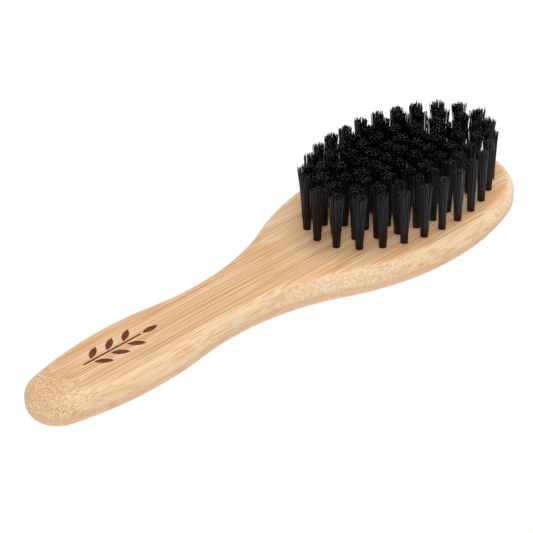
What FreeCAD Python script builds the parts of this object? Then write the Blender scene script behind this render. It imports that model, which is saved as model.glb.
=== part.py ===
"""Beard brush: a paddle of laminated bamboo with drilled rings of black bristle tufts.

The frame is centred on the paddle's length and width, with the flat back on z = 0,
+X towards the head and +Z along the bristles.  All sizes are in millimetres.
"""
import FreeCAD
import Part
import Sketcher
import math
import os

ORIGIN = FreeCAD.Vector(0, 0, 0)
UP = FreeCAD.Vector(0, 0, 1)

# Driving dimensions: alias, value, meaning
SIZES = [
    ("overall_length", 175.0, "nose of the handle to tip of the head"),
    ("nose_radius", 8.96, "round end of the handle"),
    ("grip_from_nose", 32.8, "widest point of the handle, from the nose"),
    ("grip_half_width", 12.34, "half width of the handle at its widest"),
    ("neck_half_width", 10.07, "half width of the neck at its narrowest"),
    ("head_from_tip", 43.0, "widest point of the head, from the tip"),
    ("head_half_width", 27.2, "half width of the head at its widest"),
    ("tip_taper", 3.22, "half width of the head less the radius of its round end"),
    ("lower_ply", 5.3, "thickness of the lower bamboo ply"),
    ("upper_ply", 3.92, "thickness of the upper bamboo ply"),
    ("front_round", 3.7, "round-over of the front edge"),
    ("back_round", 4.1, "round-over of the back edge"),
    ("edge_land", 1.0, "least straight side left between the two round-overs"),
    ("strip_width", 19.0, "width of one bamboo strip in a ply"),
    ("upper_joint", -5.2, "y of the first glue joint in the upper ply"),
    ("lower_joint", 4.3, "y of the last glue joint in the lower ply"),
    ("tip_margin", 6.0, "from the outer ring of tufts to the tip"),
    ("side_margin", 6.5, "from the outer ring of tufts to the widest edge"),
    ("field_half_length", 33.6, "half length of the outer ring of tufts"),
    ("ring_step", 5.5, "from ring to ring of tufts, along the handle"),
    ("row_gap", 0.5, "from the tips of the centre row's end tufts to the ring round them"),
    ("tuft_pitch", 6.5, "wished distance from tuft to tuft in a ring"),
    ("ring_turn", 0.12, "share of a pitch that a ring is turned, one way then the other"),
    ("hole_diameter", 2.3, "drilled tuft hole"),
    ("hole_depth", 6.4, "drilled tuft hole, from the front face"),
    ("tuft_clearance", 0.05, "gap round the tuft's shank in its hole"),
    ("bristle_length", 16.55, "free length of the bristles"),
    ("tuft_tip_diameter", 3.3, "tuft at its spread tip"),
    ("anchor_bite", 0.2, "depth that an anchor's edge cuts into the wood"),
    ("anchor_height", 1.4, "height of an anchor plate"),
    ("anchor_thickness", 0.35, "thickness of an anchor plate"),
    ("anchor_lift", 0.9, "bristle loop left under an anchor"),
    ("motif_from_nose", 18.0, "start of the burnt leaf sprig, from the nose"),
    ("motif_side", 1.2, "y of the sprig's stem"),
    ("motif_depth", 0.2, "depth of the burnt sprig"),
    ("stem_length", 19.0, "stem of the sprig"),
    ("stem_width", 0.6, "width of the stem"),
    ("leaf_length", 5.2, "one leaf, base to point"),
    ("leaf_width", 1.9, "one leaf, across"),
    ("leaf_gap", 0.5, "plain wood left between a leaf and the stem"),
    ("leaf_spacing", 5.4, "from leaf pair to leaf pair"),
]

LEAF_ANGLE = 38.0        # degrees between a side leaf and the stem
LEAF_PAIRS = 3
RING_COUNT = 4           # oval rings of tufts round the single centre row
MARGIN = 2.0             # how far a cutting block reaches past the wood

THICKNESS = "(sizes.lower_ply + sizes.upper_ply)"
EDGE_LIMIT = "({} - sizes.edge_land) / 2".format(THICKNESS)


def make_sheet(doc):
    """Spreadsheet with one named cell for each driving dimension."""
    sheet = doc.addObject("Spreadsheet::Sheet", "sizes")
    for row, (alias, value, meaning) in enumerate(SIZES, start=1):
        sheet.set("A{}".format(row), alias)
        sheet.set("B{}".format(row), str(value))
        sheet.set("C{}".format(row), meaning)
        sheet.setAlias("B{}".format(row), alias)
    doc.recompute()
    return sheet


def origin_plane(body, role):
    """The body's own origin plane with this role."""
    for feature in body.Origin.OriginFeatures:
        if feature.Role == role:
            return feature
    raise RuntimeError("no origin plane " + role)


def new_sketch(body, name, role):
    """Empty sketch on one of the body's origin planes."""
    sketch = body.newObject("Sketcher::SketchObject", name)
    sketch.AttachmentSupport = [(origin_plane(body, role), "")]
    sketch.MapMode = "FlatFace"
    return sketch


def dimension(sketch, name, expression, *constraint):
    """Add a named dimension to the sketch and bind it to the sheet."""
    sketch.addConstraint(Sketcher.Constraint(*constraint))
    index = sketch.ConstraintCount - 1
    sketch.renameConstraint(index, name)
    sketch.setExpression("Constraints." + name, expression)


# ---------------------------------------------------------------- bamboo paddle

def arc_chain(sheet):
    """Centre and radius of the five tangent arcs of the half outline, nose to tip."""
    half = sheet.overall_length / 2
    nose = (-half + sheet.nose_radius, 0.0, sheet.nose_radius)
    tip_radius = sheet.head_half_width - sheet.tip_taper
    tip = (half - tip_radius, 0.0, tip_radius)

    def bulge(end, x, half_width):
        """Convex arc that peaks at (x, half_width) and runs on from the end arc."""
        run = x - end[0]
        radius = (run**2 + half_width**2 - end[2]**2) / (2 * (half_width - end[2]))
        return (x, half_width - radius, radius)

    grip = bulge(nose, -half + sheet.grip_from_nose, sheet.grip_half_width)
    head = bulge(tip, half - sheet.head_from_tip, sheet.head_half_width)

    # The neck arc touches both bulges from outside and dips to the neck's half width
    span = head[0] - grip[0]
    grip_drop = sheet.grip_half_width - sheet.neck_half_width
    head_drop = sheet.head_half_width - sheet.neck_half_width
    ratio = head_drop / grip_drop
    grip_term = 2 * grip_drop * grip[2] - grip_drop**2
    head_term = 2 * head_drop * head[2] - head_drop**2
    known = span**2 - head_term + ratio * grip_term
    run = known / (span + math.sqrt(span**2 + (ratio - 1) * known))
    radius = (run**2 - grip_term) / (2 * grip_drop)
    neck = (grip[0] + run, sheet.neck_half_width + radius, radius)
    return nose, grip, neck, head, tip


def touch_point(first, second):
    """Point where two circles of the chain touch."""
    dx = second[0] - first[0]
    dy = second[1] - first[1]
    gap = math.hypot(dx, dy)
    # Inside contact keeps to the side of the smaller circle, outside lies between
    outside = gap > max(first[2], second[2])
    if outside or first[2] > second[2]:
        share = first[2] / gap
    else:
        share = -first[2] / gap
    return (first[0] + dx * share, first[1] + dy * share)


def add_arc(sketch, arc, start, end):
    """Arc of the circle from start to end, the short way round; returns its index
    and which of its ends, 1 or 2, is at start."""
    centre = FreeCAD.Vector(arc[0], arc[1], 0)
    first = math.atan2(start[1] - arc[1], start[0] - arc[0])
    last = math.atan2(end[1] - arc[1], end[0] - arc[0])
    sweep = (last - first + math.pi) % (2 * math.pi) - math.pi
    circle = Part.Circle(centre, UP, arc[2])
    if sweep > 0:
        index = sketch.addGeometry(Part.ArcOfCircle(circle, first, first + sweep), False)
        return index, 1
    index = sketch.addGeometry(Part.ArcOfCircle(circle, first + sweep, first), False)
    return index, 2


def outline_sketch(body, sheet):
    """Half outline of the paddle on one side of its long axis."""
    sketch = new_sketch(body, "half_outline", "XY_Plane")
    chain = arc_chain(sheet)
    half = sheet.overall_length / 2
    joints = [(-half, 0.0)]
    joints += [touch_point(chain[i], chain[i + 1]) for i in range(len(chain) - 1)]
    joints.append((half, 0.0))

    arcs = [add_arc(sketch, arc, joints[i], joints[i + 1]) for i, arc in enumerate(chain)]
    for (first, first_end), (second, second_start) in zip(arcs, arcs[1:]):
        sketch.addConstraint(Sketcher.Constraint("Tangent", first, 3 - first_end, second, second_start))
    nose, grip, neck, head, tip = [index for index, _ in arcs]

    axis = sketch.addGeometry(
        Part.LineSegment(FreeCAD.Vector(-half, 0, 0), FreeCAD.Vector(half, 0, 0)), False)
    sketch.addConstraint(Sketcher.Constraint("Coincident", axis, 1, nose, arcs[0][1]))
    sketch.addConstraint(Sketcher.Constraint("Coincident", axis, 2, tip, 3 - arcs[-1][1]))
    for geometry, point in ((axis, 1), (axis, 2), (nose, 3), (tip, 3)):
        sketch.addConstraint(Sketcher.Constraint("PointOnObject", geometry, point, -1))

    # A construction point marks the peak of each bulge and the low of the neck
    peaks = {}
    for name, index, arc, side in (("grip", grip, chain[1], 1), ("neck", neck, chain[2], -1),
                                   ("head", head, chain[3], 1)):
        place = FreeCAD.Vector(arc[0], arc[1] + side * arc[2], 0)
        peak = sketch.addGeometry(Part.Point(place), True)
        sketch.addConstraint(Sketcher.Constraint("PointOnObject", peak, 1, index))
        sketch.addConstraint(Sketcher.Constraint("Vertical", peak, 1, index, 3))
        width = "sizes.{}_half_width".format(name)
        dimension(sketch, name + "_half_width", width, "DistanceY", -1, 1, peak, 1, place.y)
        peaks[name] = peak

    dimension(sketch, "nose_radius", "sizes.nose_radius", "Radius", nose, chain[0][2])
    dimension(sketch, "tip_radius", "sizes.head_half_width - sizes.tip_taper",
              "Radius", tip, chain[4][2])
    dimension(sketch, "nose_end", "sizes.overall_length / 2", "DistanceX", axis, 1, -1, 1, half)
    dimension(sketch, "overall_length", "sizes.overall_length",
              "DistanceX", axis, 1, axis, 2, 2 * half)
    dimension(sketch, "grip_from_nose", "sizes.grip_from_nose",
              "DistanceX", axis, 1, peaks["grip"], 1, sheet.grip_from_nose)
    dimension(sketch, "head_from_tip", "sizes.head_from_tip",
              "DistanceX", peaks["head"], 1, axis, 2, sheet.head_from_tip)
    return sketch


def level_edges(shape, z):
    """Names of the edges that lie flat at this height."""
    names = []
    for number, edge in enumerate(shape.Edges, start=1):
        box = edge.BoundBox
        if abs(box.ZMin - z) < 1e-6 and abs(box.ZMax - z) < 1e-6:
            names.append("Edge{}".format(number))
    return names


def make_blank(doc, sheet):
    """Whole paddle before it is parted into plies and strips."""
    body = doc.addObject("PartDesign::Body", "paddle_blank")
    outline = outline_sketch(body, sheet)
    board = body.newObject("PartDesign::Pad", "board")
    board.Profile = outline
    board.setExpression("Length", THICKNESS)
    doc.recompute()

    both_sides = body.newObject("PartDesign::Mirrored", "both_sides")
    both_sides.Originals = [board]
    both_sides.MirrorPlane = (origin_plane(body, "XZ_Plane"), [""])
    both_sides.Refine = True
    body.Tip = both_sides
    doc.recompute()

    thickness = sheet.lower_ply + sheet.upper_ply
    base = both_sides
    for name, level in (("front_round", thickness), ("back_round", 0.0)):
        rounding = body.newObject("PartDesign::Fillet", name)
        rounding.Base = (base, level_edges(base.Shape, level))
        rounding.setExpression("Radius", "min(sizes.{}; {})".format(name, EDGE_LIMIT))
        body.Tip = rounding
        doc.recompute()
        base = rounding
    return body


def make_strip(doc, name, blank, low, high, floor, ceiling):
    """Strip of the blank between two glue joints and between two heights.

    low, high, floor and ceiling are expressions of the sheet.
    """
    cell = doc.addObject("Part::Box", name + "_cell")
    cell.setExpression("Length", "sizes.overall_length + {}".format(2 * MARGIN))
    cell.setExpression("Width", "({}) - ({})".format(high, low))
    cell.setExpression("Height", "({}) - ({})".format(ceiling, floor))
    cell.setExpression("Placement.Base.x", "-sizes.overall_length / 2 - {}".format(MARGIN))
    cell.setExpression("Placement.Base.y", low)
    cell.setExpression("Placement.Base.z", floor)
    strip = doc.addObject("Part::Common", name + "_strip")
    strip.Base = blank
    strip.Tool = cell
    return strip


def cut(doc, name, base, tool):
    """Base less tool."""
    result = doc.addObject("Part::Cut", name)
    result.Base = base
    result.Tool = tool
    return result


# ------------------------------------------------------------------ bristle field

def ellipse_points(half_length, half_width, pitch, turn):
    """Even number of points spread evenly along an ellipse, from its handle end."""
    steps = 2000
    walk = [(-half_length * math.cos(2 * math.pi * i / steps),
             -half_width * math.sin(2 * math.pi * i / steps)) for i in range(steps + 1)]
    run = [0.0]
    for (x1, y1), (x2, y2) in zip(walk, walk[1:]):
        run.append(run[-1] + math.hypot(x2 - x1, y2 - y1))
    count = 2 * round(run[-1] / (2 * pitch))
    points = []
    step = 0
    for number in range(count):
        target = ((number + turn) / count * run[-1]) % run[-1]
        while run[step % steps + 1] < target or run[step % steps] > target:
            step += 1
        points.append(walk[step % steps])
    return points


def ring_places(sheet):
    """Name and tuft places of each oval ring, outside in, and of the centre row."""
    middle = sheet.overall_length / 2 - sheet.tip_margin - sheet.field_half_length
    field_half_width = sheet.head_half_width - sheet.side_margin
    rings = []
    for ring in range(RING_COUNT):
        half_length = sheet.field_half_length - sheet.ring_step * ring
        half_width = field_half_width * (1 - ring / RING_COUNT)
        turn = sheet.ring_turn * (-1) ** (ring + 1)
        points = ellipse_points(half_length, half_width, sheet.tuft_pitch, turn)
        rings.append(("ring_{}".format(ring + 1), [(middle + x, y) for x, y in points]))

    clear = (sheet.tuft_tip_diameter + sheet.row_gap) / half_width
    reach = half_length * math.sqrt(1 - clear ** 2)
    gaps = round(2 * reach / sheet.tuft_pitch)
    step = 2 * reach / gaps
    points = [(middle - reach + step * i, 0.0) for i in range(gaps + 1)]
    rings.append(("centre_row", points))
    return rings


def make_anchor_form(doc):
    """Anchor plate, standing across the grain with its foot above the hole's bottom."""
    plate = doc.addObject("Part::Box", "anchor_form")
    plate.setExpression("Length", "sizes.anchor_thickness")
    plate.setExpression("Width", "sizes.hole_diameter + 2 * sizes.anchor_bite")
    plate.setExpression("Height", "sizes.anchor_height")
    plate.setExpression("Placement.Base.x", "-sizes.anchor_thickness / 2")
    plate.setExpression("Placement.Base.y", "-sizes.hole_diameter / 2 - sizes.anchor_bite")
    plate.setExpression("Placement.Base.z", "sizes.anchor_lift")
    return plate


def make_socket_form(doc, anchor):
    """Drilled hole with the two nicks that the anchor's edges press into its wall."""
    hole = doc.addObject("Part::Cylinder", "drilled_hole")
    hole.setExpression("Radius", "sizes.hole_diameter / 2")
    hole.setExpression("Height", "sizes.hole_depth + {}".format(MARGIN))
    socket = doc.addObject("Part::Fuse", "socket_form")
    socket.Base = hole
    socket.Tool = anchor
    return socket


def make_tuft_form(doc, sheet, anchor):
    """Bristle bundle: a straight shank in the hole, then a slender spreading cone."""
    body = doc.addObject("PartDesign::Body", "bundle")
    sketch = new_sketch(body, "bundle_profile", "XZ_Plane")
    shank = sheet.hole_diameter / 2 - sheet.tuft_clearance
    spread = sheet.tuft_tip_diameter / 2
    top = sheet.hole_depth + sheet.bristle_length
    corners = [(0, 0), (shank, 0), (shank, sheet.hole_depth), (spread, top), (0, top)]
    ends = corners[1:] + corners[:1]
    for (x1, z1), (x2, z2) in zip(corners, ends):
        sketch.addGeometry(
            Part.LineSegment(FreeCAD.Vector(x1, z1, 0), FreeCAD.Vector(x2, z2, 0)), False)
    foot, wall, flare, tip, axis = range(len(corners))
    for line in range(len(corners)):
        following = (line + 1) % len(corners)
        sketch.addConstraint(Sketcher.Constraint("Coincident", line, 2, following, 1))
    sketch.addConstraint(Sketcher.Constraint("Coincident", foot, 1, -1, 1))
    sketch.addConstraint(Sketcher.Constraint("Horizontal", foot))
    sketch.addConstraint(Sketcher.Constraint("Vertical", wall))
    sketch.addConstraint(Sketcher.Constraint("Horizontal", tip))
    sketch.addConstraint(Sketcher.Constraint("Vertical", axis))
    dimension(sketch, "shank_radius", "sizes.hole_diameter / 2 - sizes.tuft_clearance",
              "DistanceX", foot, 1, foot, 2, shank)
    dimension(sketch, "shank_height", "sizes.hole_depth",
              "DistanceY", wall, 1, wall, 2, sheet.hole_depth)
    dimension(sketch, "tip_radius", "sizes.tuft_tip_diameter / 2",
              "DistanceX", tip, 2, tip, 1, spread)
    dimension(sketch, "free_length", "sizes.bristle_length",
              "DistanceY", flare, 1, flare, 2, sheet.bristle_length)

    turned = body.newObject("PartDesign::Revolution", "turned_bundle")
    turned.Profile = sketch
    turned.ReferenceAxis = (sketch, ["V_Axis"])
    turned.Angle = 360.0
    body.Tip = turned
    return cut(doc, "tuft_form", body, anchor)


def make_group(doc, name, form, places, z):
    """One node with a copy of the form's solid at each place, its foot at height z."""
    copies = []
    for x, y in places:
        solid = form.Shape.copy()
        solid.translate(FreeCAD.Vector(x, y, z))
        copies.append(solid)
    group = doc.addObject("Part::Feature", name)
    group.Shape = Part.makeCompound(copies)
    group.Placement = FreeCAD.Placement(ORIGIN, FreeCAD.Rotation())
    return group


# --------------------------------------------------------------- burnt leaf sprig

def make_leaf_form(doc, sheet):
    """Pointed leaf along +X with its base at the origin, as deep as the burn."""
    body = doc.addObject("PartDesign::Body", "leaf_form")
    sketch = new_sketch(body, "leaf_outline", "XY_Plane")
    length = sheet.leaf_length
    bulge = sheet.leaf_width / 2
    radius = (length**2 / 4 + bulge**2) / (2 * bulge)
    base = (0.0, 0.0)
    point = (length, 0.0)
    upper, upper_start = add_arc(sketch, (length / 2, bulge - radius, radius), base, point)
    lower, lower_start = add_arc(sketch, (length / 2, radius - bulge, radius), base, point)
    sketch.addConstraint(Sketcher.Constraint("Coincident", upper, upper_start, lower, lower_start))
    sketch.addConstraint(
        Sketcher.Constraint("Coincident", upper, 3 - upper_start, lower, 3 - lower_start))
    sketch.addConstraint(Sketcher.Constraint("Coincident", upper, upper_start, -1, 1))
    sketch.addConstraint(Sketcher.Constraint("PointOnObject", upper, 3 - upper_start, -1))
    sketch.addConstraint(Sketcher.Constraint("Equal", upper, lower))
    dimension(sketch, "leaf_length", "sizes.leaf_length",
              "DistanceX", upper, upper_start, upper, 3 - upper_start, length)
    bend = "(sizes.leaf_length ^ 2 / 4 + sizes.leaf_width ^ 2 / 4) / sizes.leaf_width"
    dimension(sketch, "leaf_bend", bend, "Radius", upper, radius)
    blade = body.newObject("PartDesign::Pad", "leaf_blade")
    blade.Profile = sketch
    blade.setExpression("Length", "sizes.motif_depth")
    return body


def make_sprig(doc, sheet, leaf):
    """Stem, paired side leaves and an end leaf, sunk into the front of the handle."""
    start = sheet.motif_from_nose - sheet.overall_length / 2
    floor = sheet.lower_ply + sheet.upper_ply - sheet.motif_depth
    stem_corner = FreeCAD.Vector(start, sheet.motif_side - sheet.stem_width / 2, floor)
    stem = Part.makeBox(sheet.stem_length, sheet.stem_width, sheet.motif_depth, stem_corner)
    pieces = [stem]

    def add_leaf(x, offset, angle):
        blade = leaf.Shape.copy()
        blade.rotate(ORIGIN, UP, angle)
        blade.translate(FreeCAD.Vector(x, sheet.motif_side + offset, floor))
        pieces.append(blade)

    clear = sheet.stem_width / 2 + sheet.leaf_gap
    for pair in range(LEAF_PAIRS):
        x = start + sheet.stem_length - (LEAF_PAIRS - pair) * sheet.leaf_spacing
        add_leaf(x, clear, LEAF_ANGLE)
        add_leaf(x, -clear, -LEAF_ANGLE)
    add_leaf(start + sheet.stem_length + sheet.leaf_gap, 0.0, 0.0)

    sprig = doc.addObject("Part::Feature", "sprig_form")
    sprig.Shape = Part.makeCompound(pieces)
    sprig.Placement = FreeCAD.Placement(ORIGIN, FreeCAD.Rotation())
    return sprig


# -------------------------------------------------------------------- the assembly

def make_plies(doc, blank, sockets, sprig):
    """Six glued bamboo strips: three in the lower ply and three in the upper."""
    near = "-sizes.head_half_width - {}".format(MARGIN)
    far = "sizes.head_half_width + {}".format(MARGIN)
    lower_lines = [near, "sizes.lower_joint - sizes.strip_width", "sizes.lower_joint", far]
    upper_lines = [near, "sizes.upper_joint", "sizes.upper_joint + sizes.strip_width", far]
    plies = (("lower", lower_lines, "0", "sizes.lower_ply"),
             ("upper", upper_lines, "sizes.lower_ply", THICKNESS))
    strips = []
    for ply, lines, floor, ceiling in plies:
        for side, low, high in zip(("near", "middle", "far"), lines, lines[1:]):
            name = "{}_{}_strip".format(ply, side)
            strip = make_strip(doc, name, blank, low, high, floor, ceiling)
            if name == "upper_middle_strip":
                strip = cut(doc, name + "_burnt", strip, sprig)
            drilled = cut(doc, name + "_drilled", strip, sockets)
            drilled.Label = name
            strips.append(drilled)
    return strips


def check_document(doc, parts):
    """Stop if any object failed or any sub-part is empty or invalid."""
    for thing in doc.Objects:
        if "Invalid" in thing.State or "Error" in thing.State:
            raise RuntimeError("{} failed: {}".format(thing.Label, thing.State))
    for part in parts:
        if part.Shape.isNull() or not part.Shape.isValid() or not part.Shape.Solids:
            raise RuntimeError("{} has no valid solid".format(part.Label))


def main():
    doc = FreeCAD.newDocument("beard_brush")
    sheet = make_sheet(doc)
    blank = make_blank(doc, sheet)

    anchor = make_anchor_form(doc)
    socket = make_socket_form(doc, anchor)
    tuft = make_tuft_form(doc, sheet, anchor)
    leaf = make_leaf_form(doc, sheet)
    doc.recompute()
    check_document(doc, [blank, anchor, socket, tuft, leaf])

    rings = ring_places(sheet)
    hole_floor = sheet.lower_ply + sheet.upper_ply - sheet.hole_depth
    everywhere = [place for _, places in rings for place in places]
    sockets = make_group(doc, "sockets", socket, everywhere, hole_floor)
    sprig = make_sprig(doc, sheet, leaf)
    parts = make_plies(doc, blank, sockets, sprig)
    for name, places in rings:
        for kind, form in (("tufts", tuft), ("anchors", anchor)):
            group = make_group(doc, "{}_{}".format(kind, name), form, places, hole_floor)
            parts.append(group)
    doc.recompute()
    check_document(doc, parts)

    os.makedirs("parts", exist_ok=True)
    for part in parts:
        part.Shape.exportStep("parts/{}.step".format(part.Label))
        box = part.Shape.BoundBox
        print("{:24s} {:3d} solids  volume {:9.1f}  z {:.2f} to {:.2f}".format(
            part.Label, len(part.Shape.Solids), part.Shape.Volume, box.ZMin, box.ZMax))


main()
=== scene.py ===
"""Beard brush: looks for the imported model.

The bamboo strips and the anchors keep their CAD shapes and get procedural materials.
The plain CAD tufts are replaced by bundles of separate bent nylon filaments.
"""
import math
import random

import bpy
import numpy as np
from mathutils import Matrix, Vector


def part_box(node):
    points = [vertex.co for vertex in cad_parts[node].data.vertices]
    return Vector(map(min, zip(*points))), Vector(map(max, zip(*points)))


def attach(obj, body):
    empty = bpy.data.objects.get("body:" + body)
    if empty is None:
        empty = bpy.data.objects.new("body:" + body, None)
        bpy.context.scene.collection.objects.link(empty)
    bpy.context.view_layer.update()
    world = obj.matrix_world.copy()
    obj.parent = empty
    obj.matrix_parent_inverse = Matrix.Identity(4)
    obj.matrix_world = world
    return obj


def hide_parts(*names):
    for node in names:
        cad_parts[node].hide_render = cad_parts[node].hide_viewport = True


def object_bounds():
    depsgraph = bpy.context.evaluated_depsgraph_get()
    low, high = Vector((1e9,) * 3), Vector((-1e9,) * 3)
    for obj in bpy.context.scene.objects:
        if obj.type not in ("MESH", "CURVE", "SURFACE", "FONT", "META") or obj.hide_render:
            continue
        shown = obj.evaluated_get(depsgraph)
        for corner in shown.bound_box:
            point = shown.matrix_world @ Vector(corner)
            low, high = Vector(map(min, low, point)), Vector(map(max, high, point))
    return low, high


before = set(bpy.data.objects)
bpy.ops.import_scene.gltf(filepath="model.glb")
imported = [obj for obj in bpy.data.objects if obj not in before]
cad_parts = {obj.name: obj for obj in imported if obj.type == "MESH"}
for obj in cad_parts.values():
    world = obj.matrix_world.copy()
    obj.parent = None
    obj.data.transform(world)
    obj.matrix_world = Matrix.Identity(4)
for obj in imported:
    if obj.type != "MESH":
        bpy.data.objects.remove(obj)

CAD_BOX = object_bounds()
MM = 0.001
ROOT = "root"

# ------------------------------------------------------------------ places in the frame
# Everything is read from the boxes of the CAD nodes, in metres.

UPPER_LOW, UPPER_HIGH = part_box("upper_middle_strip")
LOWER_LOW, LOWER_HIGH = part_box("lower_middle_strip")
ANCHOR_LOW, ANCHOR_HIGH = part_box("anchors_centre_row")
GLUE_LINE = UPPER_LOW.z
BOARD_TOP = UPPER_HIGH.z
UPPER_JOINTS = (UPPER_LOW.y, UPPER_HIGH.y)
LOWER_JOINTS = (LOWER_LOW.y, LOWER_HIGH.y)
NOSE = CAD_BOX[0][0]
BRISTLE_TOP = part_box("tufts_centre_row")[1].z


def node_islands(name):
    """Middle of each separate solid of a CAD node, in x and y."""
    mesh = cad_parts[name].data
    parent = list(range(len(mesh.vertices)))

    def find(i):
        while parent[i] != i:
            parent[i] = parent[parent[i]]
            i = parent[i]
        return i

    seen = {}
    for i, vertex in enumerate(mesh.vertices):
        key = tuple(round(c / (0.001 * MM)) for c in vertex.co)
        if key in seen:
            parent[find(i)] = find(seen[key])
        else:
            seen[key] = i
    for edge in mesh.edges:
        parent[find(edge.vertices[0])] = find(edge.vertices[1])
    groups = {}
    for i, vertex in enumerate(mesh.vertices):
        groups.setdefault(find(i), []).append(vertex.co)
    places = []
    for points in groups.values():
        xs = [p.x for p in points]
        ys = [p.y for p in points]
        places.append(((min(xs) + max(xs)) / 2, (min(ys) + max(ys)) / 2))
    return sorted(places)


# ------------------------------------------------------------------------ node graphs

class Graph:
    """A material and short calls that add nodes to it and wire them."""

    def __init__(self, name):
        self.material = bpy.data.materials.new(name)
        self.material.use_nodes = True
        self.tree = self.material.node_tree
        self.tree.nodes.clear()
        output = self.tree.nodes.new("ShaderNodeOutputMaterial")
        self.shader = self.tree.nodes.new("ShaderNodeBsdfPrincipled")
        self.tree.links.new(self.shader.outputs["BSDF"], output.inputs["Surface"])

    def put(self, socket, value):
        """Wire a socket in, or set a plain value."""
        if isinstance(value, bpy.types.NodeSocket):
            self.tree.links.new(value, socket)
        elif value is not None:
            socket.default_value = value

    def math(self, operation, a, b=None, c=None):
        node = self.tree.nodes.new("ShaderNodeMath")
        node.operation = operation
        for socket, value in zip(node.inputs, (a, b, c)):
            self.put(socket, value)
        return node.outputs[0]

    def vector_math(self, operation, a, b=None):
        node = self.tree.nodes.new("ShaderNodeVectorMath")
        node.operation = operation
        for socket, value in zip(node.inputs, (a, b)):
            self.put(socket, value)
        return node.outputs[0]

    def stretch(self, vector, scale, shift=(0.0, 0.0, 0.0)):
        """The vector times a scale for each axis, plus a shift."""
        node = self.tree.nodes.new("ShaderNodeVectorMath")
        node.operation = "MULTIPLY_ADD"
        self.put(node.inputs[0], vector)
        node.inputs[1].default_value = scale
        node.inputs[2].default_value = shift
        return node.outputs[0]

    def noise(self, vector, detail):
        node = self.tree.nodes.new("ShaderNodeTexNoise")
        self.put(node.inputs["Vector"], vector)
        node.inputs["Scale"].default_value = 1.0
        node.inputs["Detail"].default_value = detail
        return node

    def voronoi(self, vector, scale):
        node = self.tree.nodes.new("ShaderNodeTexVoronoi")
        self.put(node.inputs["Vector"], vector)
        node.inputs["Scale"].default_value = scale
        return node

    def smooth(self, value, low, high, to_low=0.0, to_high=1.0):
        """Smooth step of value from low..high to to_low..to_high."""
        node = self.tree.nodes.new("ShaderNodeMapRange")
        node.interpolation_type = "SMOOTHSTEP"
        self.put(node.inputs["Value"], value)
        node.inputs["From Min"].default_value = low
        node.inputs["From Max"].default_value = high
        node.inputs["To Min"].default_value = to_low
        node.inputs["To Max"].default_value = to_high
        return node.outputs["Result"]

    def ramp(self, value, stops):
        """Colour ramp through (position, colour) stops."""
        node = self.tree.nodes.new("ShaderNodeValToRGB")
        self.put(node.inputs["Fac"], value)
        elements = node.color_ramp.elements
        while len(elements) < len(stops):
            elements.new(0.5)
        for element, (position, colour) in zip(elements, stops):
            element.position = position
            element.color = (*colour, 1.0)
        return node.outputs["Color"]

    def mix(self, share, first, second, blend="MIX"):
        """Colour mix of two colours."""
        node = self.tree.nodes.new("ShaderNodeMix")
        node.data_type = "RGBA"
        node.blend_type = blend
        self.put(node.inputs[0], share)
        for socket, value in ((node.inputs[6], first), (node.inputs[7], second)):
            self.put(socket, (*value, 1.0) if isinstance(value, tuple) else value)
        return node.outputs[2]

    def object_mm(self):
        """Place on the object in millimetres."""
        node = self.tree.nodes.new("ShaderNodeTexCoord")
        return self.stretch(node.outputs["Object"], (1 / MM, 1 / MM, 1 / MM))

    def split(self, vector):
        node = self.tree.nodes.new("ShaderNodeSeparateXYZ")
        self.put(node.inputs[0], vector)
        return node.outputs

    def join(self, x, y, z):
        node = self.tree.nodes.new("ShaderNodeCombineXYZ")
        for socket, value in zip(node.inputs, (x, y, z)):
            self.put(socket, value)
        return node.outputs[0]

    def normal(self):
        return self.split(self.tree.nodes.new("ShaderNodeNewGeometry").outputs["Normal"])

    def bump(self, height, strength, distance):
        node = self.tree.nodes.new("ShaderNodeBump")
        node.inputs["Strength"].default_value = strength
        node.inputs["Distance"].default_value = distance
        self.put(node.inputs["Height"], height)
        self.put(self.shader.inputs["Normal"], node.outputs["Normal"])


# ----------------------------------------------------------------------------- bamboo

# Linear colours
CREAM = (0.91, 0.725, 0.505)
HONEY = (0.855, 0.590, 0.335)
FIBRE = (0.62, 0.235, 0.042)
BUNDLE = (0.52, 0.190, 0.045)
# The pale sanded colour below also paints the satin sheen on the side faces
SANDED_PALE_AND_SHEEN = (0.92, 0.76, 0.565)
SANDED_DEEP = (0.77, 0.535, 0.325)
WALL = (0.75, 0.495, 0.300)
GLUE = (0.30, 0.13, 0.05)
CHAR = (0.110, 0.024, 0.010)
CHAR_EDGE = (0.220, 0.060, 0.022)

# Patterns along the fibres: changes per mm along them and across them, and detail
BANDS = (0.004, 0.28, 1.0)
STREAKS = (0.008, 1.0, 1.0)
FIBRES = (0.014, 2.1, 0.0)
THREADS = (0.03, 3.8, 0.0)
STAGGER = (0.010, 0.42, 0.0)

# Patterns fixed to the object: changes per mm in x, y and z
GRAIN_SWAY = (0.016, 0.05, 0.05)
BLOTCHES = (0.16, 0.36, 0.50)
SPECKLES = (1.9, 2.4, 2.4)
CHAR_SPOTS = (1.2, 4.0, 4.0)

# Grain, in millimetres
WANDER = 2.2                     # how far the fibres stray from a straight line
LINES_ACROSS = 1.20              # fibre lines per mm of width
LINES_DOWN = 0.85                # fibre lines per mm of depth
LINE_STAGGER = 0.9               # how many lines the spacing drifts by
BUNDLES = 1.7                    # cut fibre bundles per mm on an end
NOSE_REACH = 15.0                # length of the worn nose
NOSE_DIP = -0.022                # dip of the fibres there, times the square of the distance

GLUE_SHARE = 0.10                # how far a glue line darkens the wood
GLUE_HALF = 0.12                 # half width of the line between the plies, in mm
JOINT_HALF = 0.10                # half width of the line between strips, in mm
LOWER_WALL = 0.80                # how far the lower ply's outer wall turns plain and brown
BURN_SKIN = 0.02 * MM            # depth below the front face at which the burn begins
SPRIG_DEPTHS = (0.1 * MM, 1.0 * MM)    # the sprig's floor lies between these depths


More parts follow.
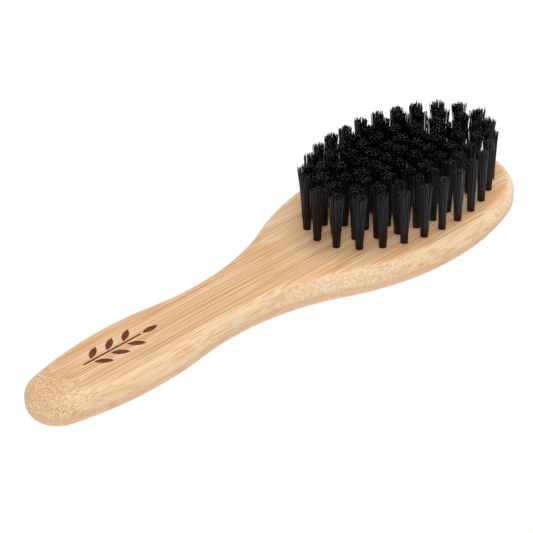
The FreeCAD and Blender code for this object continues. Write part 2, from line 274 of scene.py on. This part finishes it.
def sprig_box():
    """Lowest and highest corner of the sprig's sunk floor."""
    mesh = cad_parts["upper_middle_strip"].data
    points = []
    for face in mesh.polygons:
        depth = BOARD_TOP - face.center.z
        if face.normal.z > 0.99 and SPRIG_DEPTHS[0] < depth < SPRIG_DEPTHS[1]:
            points += [mesh.vertices[i].co for i in face.vertices]
    low = Vector([min(p[axis] for p in points) for axis in range(3)])
    high = Vector([max(p[axis] for p in points) for axis in range(3)])
    return low, high


def burnt_share(g, x, y, z):
    """1 on the walls and floor of the sprig, 0 elsewhere."""
    low, high = sprig_box()
    share = g.math("LESS_THAN", z, (BOARD_TOP - BURN_SKIN) / MM)
    share = g.math("MULTIPLY", share, g.math("GREATER_THAN", z, (low.z - BURN_SKIN) / MM))
    for value, start, end in ((x, low.x, high.x), (y, low.y, high.y)):
        middle = (start + end) / 2 / MM
        half = (end - start) / 2 / MM + 0.1
        share = g.math("MULTIPLY", share, g.math("COMPARE", value, middle, half))
    return share


class Surface:
    """How the surface is turned: 1 or 0 for each kind of face, with soft steps between."""

    def __init__(self, g):
        along, _, up = g.normal()
        facing = g.math("ABSOLUTE", along)
        self.turned = g.smooth(g.math("ABSOLUTE", up), 0.99, 0.80)
        self.ends = g.math("MULTIPLY", self.turned, g.smooth(facing, 0.05, 0.38))
        self.tips = g.math("MULTIPLY", self.turned, g.smooth(facing, 0.40, 0.80))


class Grain:
    """The fibres of one strip, running along X, and the patterns that follow them."""

    def __init__(self, g, place, shift):
        x, y, z = g.split(place)
        wander = g.noise(g.stretch(place, GRAIN_SWAY, shift), detail=1.0)
        wander = g.vector_math("SUBTRACT", wander.outputs["Color"], (0.5, 0.5, 0.5))
        wander_y, wander_z, _ = g.split(wander)
        across = g.math("MULTIPLY_ADD", wander_y, WANDER, y)
        down = g.math("MULTIPLY_ADD", wander_z, WANDER, z)

        # The worn nose cuts through the fibres, so they end in flecks there
        from_nose = g.math("MAXIMUM", g.math("SUBTRACT", NOSE / MM + NOSE_REACH, x), 0.0)
        down = g.math("MULTIPLY_ADD", g.math("MULTIPLY", from_nose, from_nose), NOSE_DIP, down)
        self.nose = g.smooth(g.math("MULTIPLY_ADD", wander_y, 14.0, from_nose), 3.0, 8.0)

        line = g.join(x, across, down)
        self.bands = self.along(g, line, shift, *BANDS)
        self.streaks = self.along(g, line, shift, *STREAKS)
        self.fibres = self.along(g, line, shift, *FIBRES)
        self.threads = self.along(g, line, shift, *THREADS)
        self.ripple = self.fibre_lines(g, line, shift, across, down)
        self.bundle = self.cut_bundles(g, shift, across, down)

    @staticmethod
    def along(g, line, shift, length, width, detail):
        """Noise drawn out along the fibres."""
        return g.noise(g.stretch(line, (length, width, width), shift), detail=detail).outputs["Fac"]

    def fibre_lines(self, g, line, shift, across, down):
        """Even fine lines, each one a row of fibres."""
        stagger = self.along(g, line, shift, *STAGGER)
        count = g.math("MULTIPLY_ADD", across, LINES_ACROSS, g.math("MULTIPLY", down, LINES_DOWN))
        count = g.math("MULTIPLY_ADD", stagger, LINE_STAGGER, count)
        return g.smooth(g.math("SINE", g.math("MULTIPLY", count, 2 * math.pi)), 0.0, 0.95)

    @staticmethod
    def cut_bundles(g, shift, across, down):
        """Dots where fibre bundles, thin columns along X, are cut across."""
        across = g.math("ADD", across, shift[1])
        down = g.math("ADD", down, shift[2])
        cells = g.voronoi(g.join(across, down, 0.0), BUNDLES)
        cells.voronoi_dimensions = "2D"
        cells.inputs["Randomness"].default_value = 0.7
        pick = g.smooth(g.split(cells.outputs["Color"])[0], 0.0, 0.30)
        return g.math("MULTIPLY", g.smooth(cells.outputs["Distance"], 0.36, 0.16), pick)


def fibre_colour(g, grain, surface):
    """Cream to honey in broad bands, then the darker fibres."""
    lines = g.math("MULTIPLY", grain.ripple, g.math("MULTIPLY_ADD", surface.turned, -0.5, 1.0))
    lines = g.math("MULTIPLY", lines, g.smooth(grain.fibres, 0.36, 0.60, 0.34, 0.95))
    streaked = g.math("MULTIPLY", g.smooth(grain.fibres, 0.46, 0.60),
                      g.smooth(grain.streaks, 0.36, 0.62, 0.10, 0.42))
    threaded = g.math("MULTIPLY", g.smooth(grain.threads, 0.50, 0.62), 0.32)
    body = g.mix(g.smooth(grain.bands, 0.28, 0.72), CREAM, HONEY)
    for share in (lines, streaked, threaded, g.smooth(grain.streaks, 0.56, 0.74, 0.0, 0.10)):
        body = g.mix(share, body, FIBRE)
    return body


def sand_and_sheen(g, place, shift, grain, surface, speckle, body):
    """The round-overs: sanded paler, and mottled and dotted where they cut the fibres. On the side
    faces the pale mottling is partly real sanding and partly painted sheen.
    """
    ends = g.math("MAXIMUM", surface.ends, grain.nose)
    blotch = g.noise(g.stretch(place, BLOTCHES, shift), detail=2.0).outputs["Fac"]
    spots = g.math("SUBTRACT", g.smooth(speckle, 0.36, 0.58), 0.7)
    spots = g.math("MULTIPLY_ADD", spots, g.math("MULTIPLY_ADD", ends, 0.8, 0.2), 0.7)
    # Side faces: pale sanded mottling that also paints the satin sheen of the round-overs
    pale_sides_and_sheen = g.math("MULTIPLY", surface.turned, g.smooth(blotch, 0.38, 0.62, 0.15, 0.75))
    cover = g.math("MULTIPLY", ends, g.smooth(blotch, 0.30, 0.60, 0.60, 0.90))
    cover = g.math("MAXIMUM", pale_sides_and_sheen, cover)
    cover = g.math("MULTIPLY", cover, g.math("MULTIPLY_ADD", grain.nose, -0.60, 1.0))
    body = g.mix(cover, body, g.mix(spots, SANDED_DEEP, SANDED_PALE_AND_SHEEN))
    dots = g.math("MULTIPLY_ADD", g.math("MAXIMUM", grain.nose, surface.tips), 0.55, 0.22)
    return g.mix(g.math("MULTIPLY", grain.bundle, dots), body, BUNDLE)


def lower_wall(g, z, grain, surface, plain, body):
    """The lower ply's outer wall, plainer and browner."""
    wall = g.smooth(z, GLUE_LINE / MM - 0.1, GLUE_LINE / MM - 1.3, 0.0, plain)
    brown = g.mix(g.smooth(grain.fibres, 0.40, 0.66, 0.0, 0.35), WALL, FIBRE)
    return g.mix(g.math("MULTIPLY", surface.turned, wall), body, brown)


def glue_lines(g, y, z, joints, body):
    """Faint dark lines between the plies and between the strips."""
    gap = g.math("ABSOLUTE", g.math("SUBTRACT", z, GLUE_LINE / MM))
    glue = g.smooth(gap, GLUE_HALF, 0.02, 0.0, GLUE_SHARE)
    for joint in joints:
        gap = g.math("ABSOLUTE", g.math("SUBTRACT", y, joint / MM))
        glue = g.math("MAXIMUM", glue, g.smooth(gap, JOINT_HALF, 0.02, 0.0, GLUE_SHARE))
    return g.mix(glue, body, GLUE)


def bamboo(name, tone, shift, joints, plain):
    """Oiled bamboo with its fibres along X.

    tone tints the strip a little, shift moves its grain, joints are the y of its glue
    lines and plain is how smooth and brown its outer wall is.
    """
    g = Graph(name)
    place = g.object_mm()
    x, y, z = g.split(place)
    surface = Surface(g)
    grain = Grain(g, place, shift)
    speckle = g.noise(g.stretch(place, SPECKLES, shift), detail=1.0).outputs["Fac"]

    body = fibre_colour(g, grain, surface)
    body = sand_and_sheen(g, place, shift, grain, surface, speckle, body)
    body = lower_wall(g, z, grain, surface, plain, body)
    body = glue_lines(g, y, z, joints, body)
    body = g.mix(1.0, body, tone, "MULTIPLY")

    burnt = burnt_share(g, x, y, z)
    char = g.noise(g.stretch(place, CHAR_SPOTS), detail=2.0).outputs["Fac"]
    body = g.mix(burnt, body, g.mix(g.smooth(char, 0.36, 0.66), CHAR, CHAR_EDGE))
    g.put(g.shader.inputs["Base Color"], body)

    fibre = g.smooth(grain.fibres, 0.46, 0.60)
    rough = g.math("MULTIPLY_ADD", fibre, 0.12, g.smooth(speckle, 0.3, 0.7, 0.40, 0.48))
    g.put(g.shader.inputs["Roughness"], g.math("MULTIPLY_ADD", burnt, 0.35, rough))
    g.shader.inputs["Specular IOR Level"].default_value = 0.32
    g.shader.inputs["Coat Weight"].default_value = 0.08
    g.shader.inputs["Coat Roughness"].default_value = 0.30

    relief = g.math("MULTIPLY_ADD", grain.bundle, -0.7, g.math("MULTIPLY", grain.threads, 0.5))
    relief = g.math("MULTIPLY_ADD", fibre, -0.5, relief)
    g.bump(relief, 0.35, 0.05 * MM)
    return g.material


# ----------------------------------------------------------- wire, nylon and the floor

WIRE_DARK = (0.42, 0.41, 0.39)
WIRE_BRIGHT = (0.66, 0.65, 0.62)
NYLON_BLACK = (0.0004, 0.0004, 0.0006)
NYLON_GREY = (0.0012, 0.0012, 0.0018)
NYLON_PAINTED_GLINT = (0.120, 0.121, 0.138)
TIP_DEPTHS = (2.2, 1.6)          # depths in mm between which the cut ends begin
GLINT_DEPTHS = (0.62, 0.20)      # and between which painted glints show on some cut ends


def anchor_metal():
    """Bare flat wire, drawn along its length."""
    g = Graph("anchor_wire")
    place = g.object_mm()
    drawn = g.noise(g.stretch(place, (30.0, 0.6, 30.0)), detail=3.0).outputs["Fac"]
    colour = g.ramp(drawn, [(0.3, WIRE_DARK), (0.7, WIRE_BRIGHT)])
    g.put(g.shader.inputs["Base Color"], colour)
    g.put(g.shader.inputs["Roughness"], g.smooth(drawn, 0.2, 0.8, 0.28, 0.46))
    g.shader.inputs["Metallic"].default_value = 1.0
    g.bump(drawn, 0.3, 0.01 * MM)
    return g.material


def nylon():
    """Black bristle nylon: glossy along the filament, dull where cut, with pale grey painted glints
    on some upward cut ends near the top.
    """
    g = Graph("black_nylon")
    place = g.object_mm()
    _, _, z = g.split(place)
    _, _, up = g.normal()
    strand = g.noise(g.stretch(place, (3.4, 3.4, 0.05)), detail=1.0).outputs["Fac"]
    colour = g.ramp(strand, [(0.30, NYLON_BLACK), (0.72, NYLON_GREY)])
    tip = g.smooth(z, BRISTLE_TOP / MM - TIP_DEPTHS[0], BRISTLE_TOP / MM - TIP_DEPTHS[1])
    flat = g.math("MULTIPLY", g.smooth(up, 0.55, 0.9), tip)
    glint_crest = g.smooth(z, BRISTLE_TOP / MM - GLINT_DEPTHS[0], BRISTLE_TOP / MM - GLINT_DEPTHS[1])
    glint_spots = g.noise(g.stretch(place, (4.6, 4.6, 1.0)), detail=0.0).outputs["Fac"]
    # Painted glints: pale grey painted on some upward-facing cut ends near the top, where light
    # would catch them
    cut = g.math("MULTIPLY", flat, g.math("MULTIPLY", glint_crest, g.smooth(glint_spots, 0.48, 0.60)))
    g.put(g.shader.inputs["Base Color"], g.mix(cut, colour, NYLON_PAINTED_GLINT))
    gloss = g.smooth(strand, 0.3, 0.7, 0.12, 0.19)
    g.put(g.shader.inputs["Roughness"], g.math("MULTIPLY_ADD", flat, 0.35, gloss))
    g.shader.inputs["Specular IOR Level"].default_value = 0.65
    g.shader.inputs["Specular Tint"].default_value = (0.88, 0.90, 1.0, 1.0)
    draw_marks = g.noise(g.stretch(place, (9.0, 9.0, 0.4)), detail=2.0).outputs["Fac"]
    g.bump(draw_marks, 0.25, 0.01 * MM)
    return g.material


def light_table():
    """Even white sweep that lights the object from below and casts no shadow."""
    g = Graph("light_table")
    g.shader.inputs["Base Color"].default_value = (0.02, 0.02, 0.02, 1.0)
    g.shader.inputs["Roughness"].default_value = 1.0
    g.shader.inputs["Specular IOR Level"].default_value = 0.0
    g.shader.inputs["Emission Color"].default_value = (1.0, 1.0, 1.0, 1.0)
    g.shader.inputs["Emission Strength"].default_value = 1.0
    return g.material


# ------------------------------------------------------------------------- the tufts

ANCHOR_HALF = 0.175 * MM         # half the thickness of the anchor plate
FILAMENT_RADIUS = 0.105 * MM
SEAT_PITCH = 1.96 * FILAMENT_RADIUS
BUNDLE_RADIUS = 1.04 * MM        # of filament centres, at the mouth of the hole
SIDES = 5
FREE_STEPS = 5                   # points along the free length of a filament
SEAT_JITTER = 0.010              # unevenness of the seats, in mm
STRAYS = 0.045                   # share of filaments that stand off their tuft
STRAY_REACH = (0.4, 1.3)         # how far off, in mm
SHORT = 0.06                     # share that are cut or worn short
SHORT_BY = (0.3, 1.5)            # how much shorter, in mm
BOW = 0.09                       # sideways bow of a filament, in mm
BEND = (1.05, 1.45)              # power of a filament's outward curve
CUT_SLANT = 0.5                  # rise of a slanting cut, in filament radii
LOOP_DROP = (0.16, 0.52)         # depth of the innermost loop in mm, and what the others add
SPREAD = (1.46, 0.66)            # spread of the tip against the mouth: new, and added by wear
FRAY = (0.60, 0.40)              # unevenness of the tip in mm: new, and added by wear
WORN = (-20 * MM, -4 * MM)       # the wear rises between these y
SPARED = (12 * MM, 18 * MM)      # and falls by half between these
CUT_FROM = -20 * MM              # y at which the bristles end level with the CAD tufts
CUT_TILT = 0.012                 # how much longer they are cut for each metre past it
LEAN_IN = 0.45 * MM              # lean of the outermost tufts towards the middle


def bundle_seats(rng):
    """Filament seats in one half of a hole's mouth, as (x, y) with x positive."""
    rise = SEAT_PITCH * math.sqrt(3) / 2
    rows = int(BUNDLE_RADIUS / rise)
    seats = []
    for row in range(-rows, rows + 1):
        y = row * rise
        x = SEAT_PITCH * (0.5 if row % 2 == 0 else 0.95)
        while math.hypot(x, y) <= BUNDLE_RADIUS:
            seat = Vector((x + rng.gauss(0, SEAT_JITTER) * MM, y + rng.gauss(0, SEAT_JITTER) * MM))
            seats.append(seat * min(1.0, BUNDLE_RADIUS / seat.length))
            x += SEAT_PITCH
    return seats


def share_between(value, ends):
    """0 below the first end, 1 above the second, and a straight slope between."""
    return min(1.0, max(0.0, (value - ends[0]) / (ends[1] - ends[0])))


class Tuft:
    """How one tuft stands: how far it spreads, leans, domes and frays."""

    def __init__(self, rng, place, head_middle, head_half):
        away = Vector((place[0] - head_middle, place[1]))
        inward = away / head_half * LEAN_IN
        wear = share_between(place[1], WORN) - 0.5 * share_between(place[1], SPARED)
        self.spread = SPREAD[0] + SPREAD[1] * wear + rng.gauss(0, 0.07)
        self.lean = Vector((rng.gauss(0, 0.25), rng.gauss(0, 0.25))) * MM - inward
        self.dome = rng.uniform(0.16, 0.36) * MM
        self.fray = (FRAY[0] + FRAY[1] * wear) * MM
        self.top = BRISTLE_TOP + CUT_TILT * (place[1] - CUT_FROM)


def free_points(rng, seat, tuft):
    """Centre line of one filament from the mouth of its hole to its cut end."""
    seat = Vector(seat)
    outness = seat.length / BUNDLE_RADIUS
    top = seat * (tuft.spread * (0.80 + 0.28 * outness)) + tuft.lean
    top += Vector((rng.gauss(0, 0.4), rng.gauss(0, 0.4))) * tuft.fray * 0.5
    luck = rng.random()
    if luck < STRAYS:
        angle = rng.uniform(0, 2 * math.pi)
        top += Vector((math.cos(angle), math.sin(angle))) * rng.uniform(*STRAY_REACH) * MM
    height = tuft.top - rng.random() ** 1.6 * tuft.fray - tuft.dome * outness ** 2
    if luck > 1 - SHORT:
        height -= rng.uniform(*SHORT_BY) * MM
    bow = Vector((rng.gauss(0, BOW), rng.gauss(0, BOW))) * MM
    bend = rng.uniform(*BEND)
    points = []
    for step in range(FREE_STEPS):
        t = step / (FREE_STEPS - 1)
        at = seat + (top - seat) * t ** bend + bow * math.sin(math.pi * t)
        points.append((at.x, at.y, BOARD_TOP + (height - BOARD_TOP) * t))
    return points


def folded_filament(rng, seat, tuft):
    """Both free lengths of one filament and the loop that folds it under the anchor."""
    x, y = seat
    right = free_points(rng, (x, y), tuft)
    left = free_points(rng, (-x, y), tuft)
    # The loop keeps clear of the anchor plate and of the wall of the hole
    inner = ANCHOR_HALF + FILAMENT_RADIUS * 1.1
    widest = math.sqrt(BUNDLE_RADIUS ** 2 - inner ** 2)
    y = max(-widest, min(widest, y))
    share = min(1.0, x / BUNDLE_RADIUS)
    side = min(inner + (BUNDLE_RADIUS - inner) * share, math.sqrt(BUNDLE_RADIUS ** 2 - y ** 2))
    drop = (LOOP_DROP[0] + LOOP_DROP[1] * share) * MM
    loop = [(side, y, ANCHOR_HIGH.z),
            (side, y, ANCHOR_LOW.z),
            (side * 0.72, y, ANCHOR_LOW.z - drop * 0.75),
            (0.0, y, ANCHOR_LOW.z - drop),
            (-side * 0.72, y, ANCHOR_LOW.z - drop * 0.75),
            (-side, y, ANCHOR_LOW.z),
            (-side, y, ANCHOR_HIGH.z)]
    return right[::-1] + loop + left


def tube_mesh(name, paths, radii, slant):
    """One mesh of closed round tubes along equal-length paths.

    slant holds, for the first and the last ends, the direction and the rise of each cut.
    """
    line = np.array(paths, dtype=np.float64)
    count, steps, _ = line.shape
    tangent = np.gradient(line, axis=1)
    tangent /= np.linalg.norm(tangent, axis=2, keepdims=True)
    reference = np.array([0.0, 1.0, 0.0])
    side = reference - tangent * (tangent @ reference)[..., None]
    side /= np.linalg.norm(side, axis=2, keepdims=True)
    across = np.cross(tangent, side)
    angle = np.arange(SIDES) * 2 * np.pi / SIDES
    ring = (side[:, :, None, :] * np.cos(angle)[None, None, :, None]
            + across[:, :, None, :] * np.sin(angle)[None, None, :, None])
    points = line[:, :, None, :] + ring * np.array(radii)[:, None, None, None]
    for end, slants in zip((0, -1), slant):
        tilt = np.cos(angle[None, :] - slants[0][:, None]) * slants[1][:, None]
        points[:, end] += tangent[:, end][:, None, :] * tilt[:, :, None]

    corner = np.arange(SIDES)
    following = (corner + 1) % SIDES
    start = (np.arange(steps - 1) * SIDES)[:, None]
    quads = np.stack([start + corner, start + following,
                      start + SIDES + following, start + SIDES + corner], axis=2).reshape(-1, 4)
    caps = [corner[::-1], (steps - 1) * SIDES + corner]
    offsets = np.arange(count) * steps * SIDES
    faces = (quads[None] + offsets[:, None, None]).reshape(-1, 4).tolist()
    for offset in offsets:
        faces += [(cap + offset).tolist() for cap in caps]
    mesh = bpy.data.meshes.new(name)
    mesh.from_pydata(points.reshape(-1, 3).tolist(), [], faces)
    smooth = np.ones(len(mesh.polygons), dtype=bool)
    smooth[len(quads) * count:] = False
    mesh.polygons.foreach_set("use_smooth", smooth)
    # The rims of the cut ends are sharp, so the side shading runs straight up to them
    ends = np.empty(len(mesh.edges) * 2, dtype=np.int32)
    mesh.edges.foreach_get("vertices", ends)
    step_of = ends.reshape(-1, 2) % (steps * SIDES) // SIDES
    rim = (step_of[:, 0] == step_of[:, 1]) & np.isin(step_of[:, 0], (0, steps - 1))
    mesh.edges.foreach_set("use_edge_sharp", rim)
    mesh.update()
    return mesh


def bristle_ring(row, material):
    """Every tuft of one ring as folded filaments, standing in for the CAD tufts."""
    rng = random.Random("bristles " + row)
    low, high = CAD_TUFTS
    head_middle = (low.x + high.x) / 2
    head_half = (high.x - low.x) / 2
    paths = []
    radii = []
    for place in node_islands("anchors_" + row):
        tuft = Tuft(rng, place, head_middle, head_half)
        for seat in bundle_seats(rng):
            path = folded_filament(rng, seat, tuft)
            paths.append([(x + place[0], y + place[1], z) for x, y, z in path])
            radii.append(FILAMENT_RADIUS * rng.uniform(0.90, 1.0))
    slant = []
    for _ in range(2):
        towards = [rng.uniform(0, 2 * math.pi) for _ in paths]
        rise = [rng.uniform(0.0, CUT_SLANT) * FILAMENT_RADIUS for _ in paths]
        slant.append((np.array(towards), np.array(rise)))
    name = "filaments_" + row
    piece = bpy.data.objects.new(name, tube_mesh(name, paths, radii, slant))
    bpy.context.scene.collection.objects.link(piece)
    piece.data.materials.append(material)
    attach(piece, ROOT)
    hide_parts("tufts_" + row)


def tuft_box():
    """Lowest and highest corner of all the CAD tufts."""
    boxes = [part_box("tufts_" + row) for row in ROWS]
    low = Vector(tuple(min(box[0][axis] for box in boxes) for axis in range(3)))
    high = Vector(tuple(max(box[1][axis] for box in boxes) for axis in range(3)))
    return low, high


ROWS = ("ring_1", "ring_2", "ring_3", "ring_4", "centre_row")
CAD_TUFTS = tuft_box()

# --------------------------------------------------------------------- camera, lights

VIEW_TARGET = Vector((-5.5, 0.9, 9.22)) * MM
VIEW_AZIMUTH = math.radians(-41.948)
VIEW_ELEVATION = math.radians(33.866)
VIEW_ROLL = math.radians(-1.875)
VIEW_DISTANCE = 439.9 * MM
SENSOR = 36.0
FOCAL_LENGTH = 106.35

# Name, place, aim, side in metres and power in watts
SOFTBOXES = (("key", (-0.68, -0.66, 0.74), (0.0, 0.0, 0.0), 0.7, 6.0),
             ("top", (0.25, 0.10, 1.0), (0.02, 0.0, 0.0), 0.8, 8.5),
             ("end", (0.75, -0.25, 0.30), (0.05, 0.0, 0.0), 0.4, 1.1))
ROOM_LIGHT = 0.06
FLOOR_DROP = 0.02 * MM           # the floor lies this far below the back of the brush


def add_camera():
    """Camera at the photograph's viewing angle."""
    back = Vector((math.sin(VIEW_AZIMUTH) * math.cos(VIEW_ELEVATION),
                   -math.cos(VIEW_AZIMUTH) * math.cos(VIEW_ELEVATION), math.sin(VIEW_ELEVATION)))
    level = Vector((math.cos(VIEW_AZIMUTH), math.sin(VIEW_AZIMUTH), 0.0))
    upright = back.cross(level)
    right = level * math.cos(VIEW_ROLL) + upright * math.sin(VIEW_ROLL)
    up = back.cross(right)
    data = bpy.data.cameras.new("camera")
    data.sensor_width = SENSOR
    data.lens = FOCAL_LENGTH
    data.clip_start = 0.01
    data.clip_end = 20.0
    camera = bpy.data.objects.new("camera", data)
    camera.matrix_world = (Matrix.Translation(VIEW_TARGET + back * VIEW_DISTANCE)
                           @ Matrix((right, up, back)).transposed().to_4x4())
    bpy.context.scene.collection.objects.link(camera)
    bpy.context.scene.camera = camera


def add_softbox(name, place, aim, size, power):
    """Square softbox at place, facing aim."""
    data = bpy.data.lights.new(name, "AREA")
    data.shape = "SQUARE"
    data.size = size
    data.energy = power
    lamp = bpy.data.objects.new(name, data)
    lamp.location = place
    lamp.rotation_euler = (Vector(aim) - Vector(place)).to_track_quat("-Z", "Y").to_euler()
    bpy.context.scene.collection.objects.link(lamp)


def add_sweep():
    """Round white floor whose rim turns up all the way round."""
    flat_radius, rim_radius, turns, bends = 1.7, 0.5, 64, 8
    profile = [(0.0, 0.0)]
    for step in range(bends + 1):
        angle = math.radians(90) * step / bends
        profile.append((flat_radius + rim_radius * math.sin(angle),
                        rim_radius * (1 - math.cos(angle))))
    points = [(0.0, 0.0, 0.0)]
    for radius, height in profile[1:]:
        for turn in range(turns):
            angle = 2 * math.pi * turn / turns
            points.append((radius * math.cos(angle), radius * math.sin(angle), height))
    faces = [(0, 1 + turn, 1 + (turn + 1) % turns) for turn in range(turns)]
    for ring in range(len(profile) - 2):
        start = 1 + ring * turns
        for turn in range(turns):
            after = (turn + 1) % turns
            faces.append((start + turn, start + turns + turn, start + turns + after, start + after))
    mesh = bpy.data.meshes.new("sweep")
    mesh.from_pydata(points, [], faces)
    mesh.polygons.foreach_set("use_smooth", [True] * len(faces))
    mesh.materials.append(light_table())
    sweep = bpy.data.objects.new("sweep", mesh)
    sweep.location.z = -FLOOR_DROP
    bpy.context.scene.collection.objects.link(sweep)


def add_lights():
    """Three softboxes in a dim, even room."""
    for name, place, aim, size, power in SOFTBOXES:
        add_softbox(name, place, aim, size, power)
    world = bpy.data.worlds.new("room")
    world.use_nodes = True
    background = world.node_tree.nodes["Background"]
    background.inputs["Color"].default_value = (1.0, 1.0, 1.0, 1.0)
    background.inputs["Strength"].default_value = ROOM_LIGHT
    bpy.context.scene.world = world
    bpy.context.scene.view_settings.view_transform = "Standard"


# ---------------------------------------------------------------------------- assembly

# Node, tint and shift of the grain in mm, for the upper and the lower ply
UPPER_STRIPS = (("upper_near_strip", (1.00, 0.98, 0.95), (0.0, 0.0, 0.0)),
                ("upper_middle_strip", (1.0, 1.0, 1.0), (3.1, 17.3, 8.2)),
                ("upper_far_strip", (1.0, 0.985, 0.96), (9.4, 31.9, 2.7)))
LOWER_STRIPS = (("lower_near_strip", (0.99, 0.96, 0.93), (5.7, 43.1, 14.9)),
                ("lower_middle_strip", (0.98, 0.95, 0.92), (12.9, 59.7, 21.3)),
                ("lower_far_strip", (1.0, 0.97, 0.94), (1.9, 71.3, 33.1)))


def dress_bamboo():
    """A material of its own for each strip, so that the grain changes at each joint."""
    for node, tone, shift in UPPER_STRIPS:
        give(node, bamboo("bamboo_" + node, tone, shift, UPPER_JOINTS, 0.0))
    for node, tone, shift in LOWER_STRIPS:
        give(node, bamboo("bamboo_" + node, tone, shift, LOWER_JOINTS, LOWER_WALL))


def give(node, material):
    """Put a material on a CAD node."""
    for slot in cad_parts[node].material_slots:
        slot.material = material


def main():
    add_camera()
    dress_bamboo()
    wire = anchor_metal()
    bristle = nylon()
    for row in ROWS:
        give("anchors_" + row, wire)
        bristle_ring(row, bristle)
    add_sweep()
    add_lights()


main()
